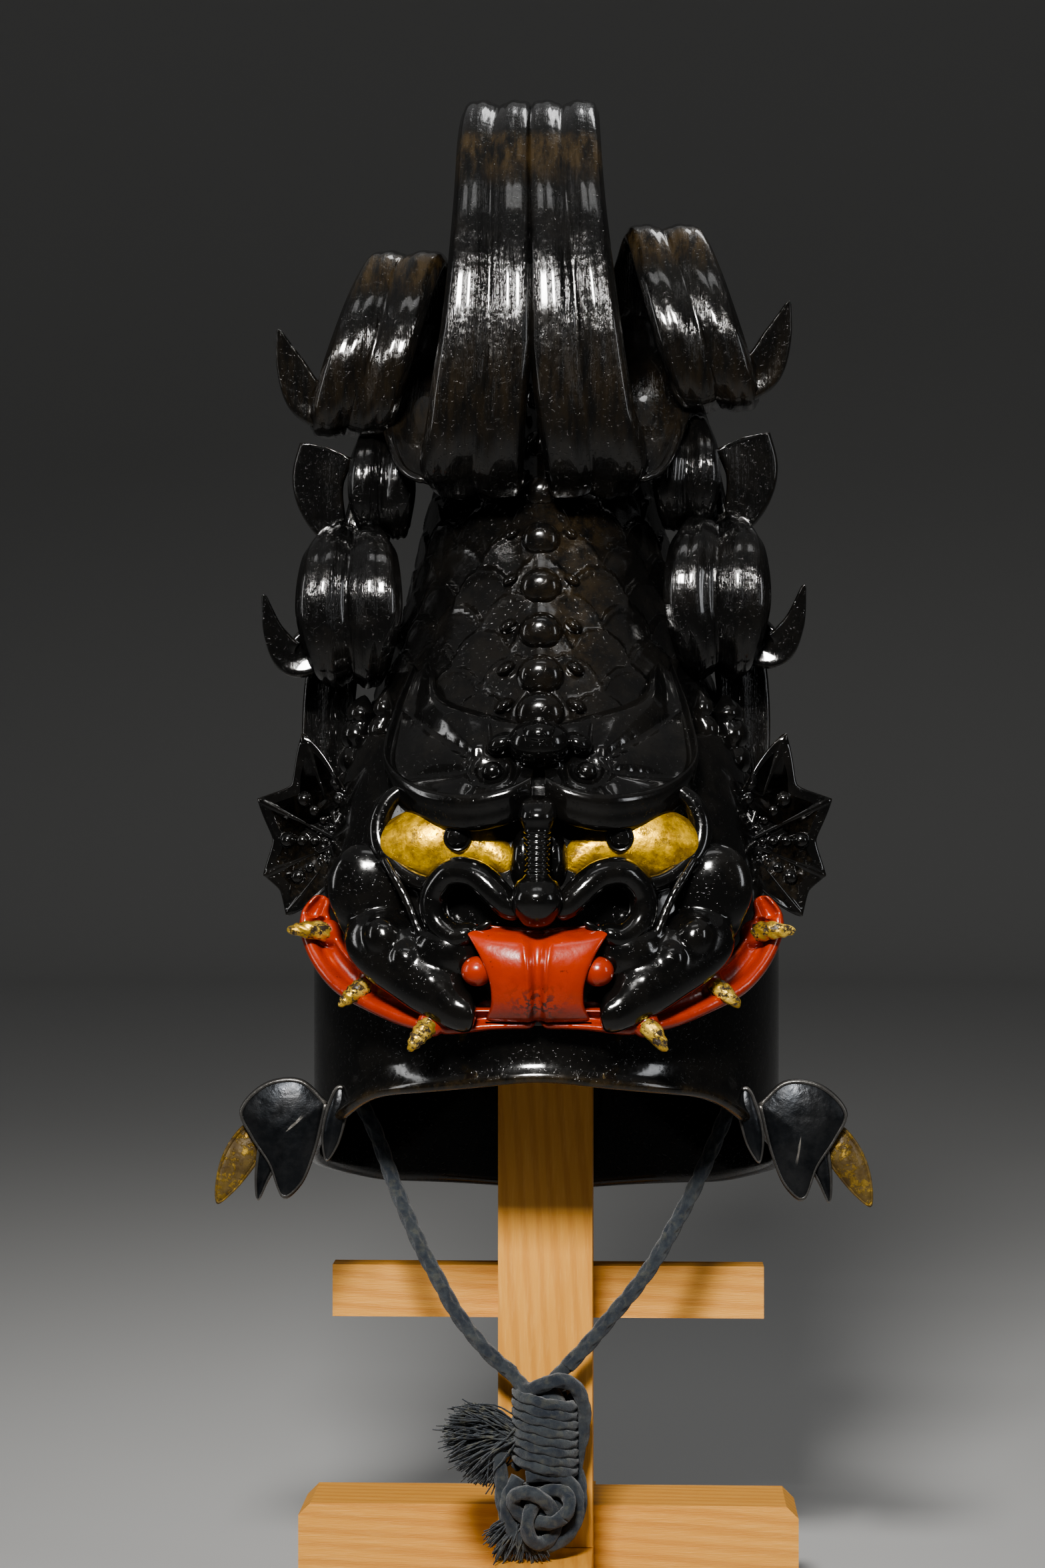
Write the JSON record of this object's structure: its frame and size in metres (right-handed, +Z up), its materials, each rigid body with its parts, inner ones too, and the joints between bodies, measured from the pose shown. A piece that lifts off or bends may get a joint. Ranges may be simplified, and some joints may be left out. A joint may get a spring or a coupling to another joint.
{
  "type": "kabuto helmet on wooden stand",
  "caption": "Black lacquered samurai helmet shaped as a horned, scaled fish with fluted tail and gold eyes, chin cord knotted, held on a plain pine post stand.",
  "frame": {"origin": "on the floor under the axis of the stand's post", "axes": "+Z up along the post, -Y to the front, where the face looks, +X to the right as seen from the front"},
  "size_m": [0.306, 0.2966, 0.7397],
  "materials": {
    "black_lacquer": "gloss black lacquer, worn brown on edges",
    "red_lacquer": "gloss vermilion lacquer with small wear marks",
    "gold_leaf": "worn gold leaf over black",
    "dark_metal": "dark satin metal",
    "indigo_cord": "braided faded indigo cord",
    "pine_wood": "plain sanded pine"
  },
  "bodies": {
    "root": {"helmet_bowl": "black_lacquer", "head": "black_lacquer", "fish_body": "black_lacquer", "nose": "black_lacquer", "upper_lip": "red_lacquer", "tail_centre": "black_lacquer", "brow_plate_left": "black_lacquer", "eye_left": "gold_leaf", "pupil_left": "black_lacquer", "nostril_left": "black_lacquer", "cheek_left": "black_lacquer", "lip_ball_left": "red_lacquer", "mouth_band_left": "red_lacquer", "tooth_outer_left": "gold_leaf", "tooth_middle_left": "gold_leaf", "tooth_inner_left": "gold_leaf", "ear_left": "black_lacquer", "gill_ridge_left": "black_lacquer", "tail_lobe_left": "black_lacquer", "side_fin_left": "black_lacquer", "leaf_dark_left": "dark_metal", "leaf_inner_left": "dark_metal", "leaf_spike_left": "dark_metal", "leaf_gold_left": "gold_leaf", "brow_plate_right": "black_lacquer", "eye_right": "gold_leaf", "pupil_right": "black_lacquer", "nostril_right": "black_lacquer", "cheek_right": "black_lacquer", "lip_ball_right": "red_lacquer", "mouth_band_right": "red_lacquer", "tooth_outer_right": "gold_leaf", "tooth_middle_right": "gold_leaf", "tooth_inner_right": "gold_leaf", "ear_right": "black_lacquer", "gill_ridge_right": "black_lacquer", "tail_lobe_right": "black_lacquer", "side_fin_right": "black_lacquer", "leaf_dark_right": "dark_metal", "leaf_inner_right": "dark_metal", "leaf_spike_right": "dark_metal", "leaf_gold_right": "gold_leaf", "chin_cord_left": "indigo_cord", "chin_cord_right": "indigo_cord", "cord_knot": "indigo_cord", "tassel_side": "indigo_cord", "tassel_bottom": "indigo_cord", "stand_post": "pine_wood", "cross_bar": "pine_wood", "base_board": "pine_wood", "foot_board": "pine_wood"}
  },
  "joints": []
}
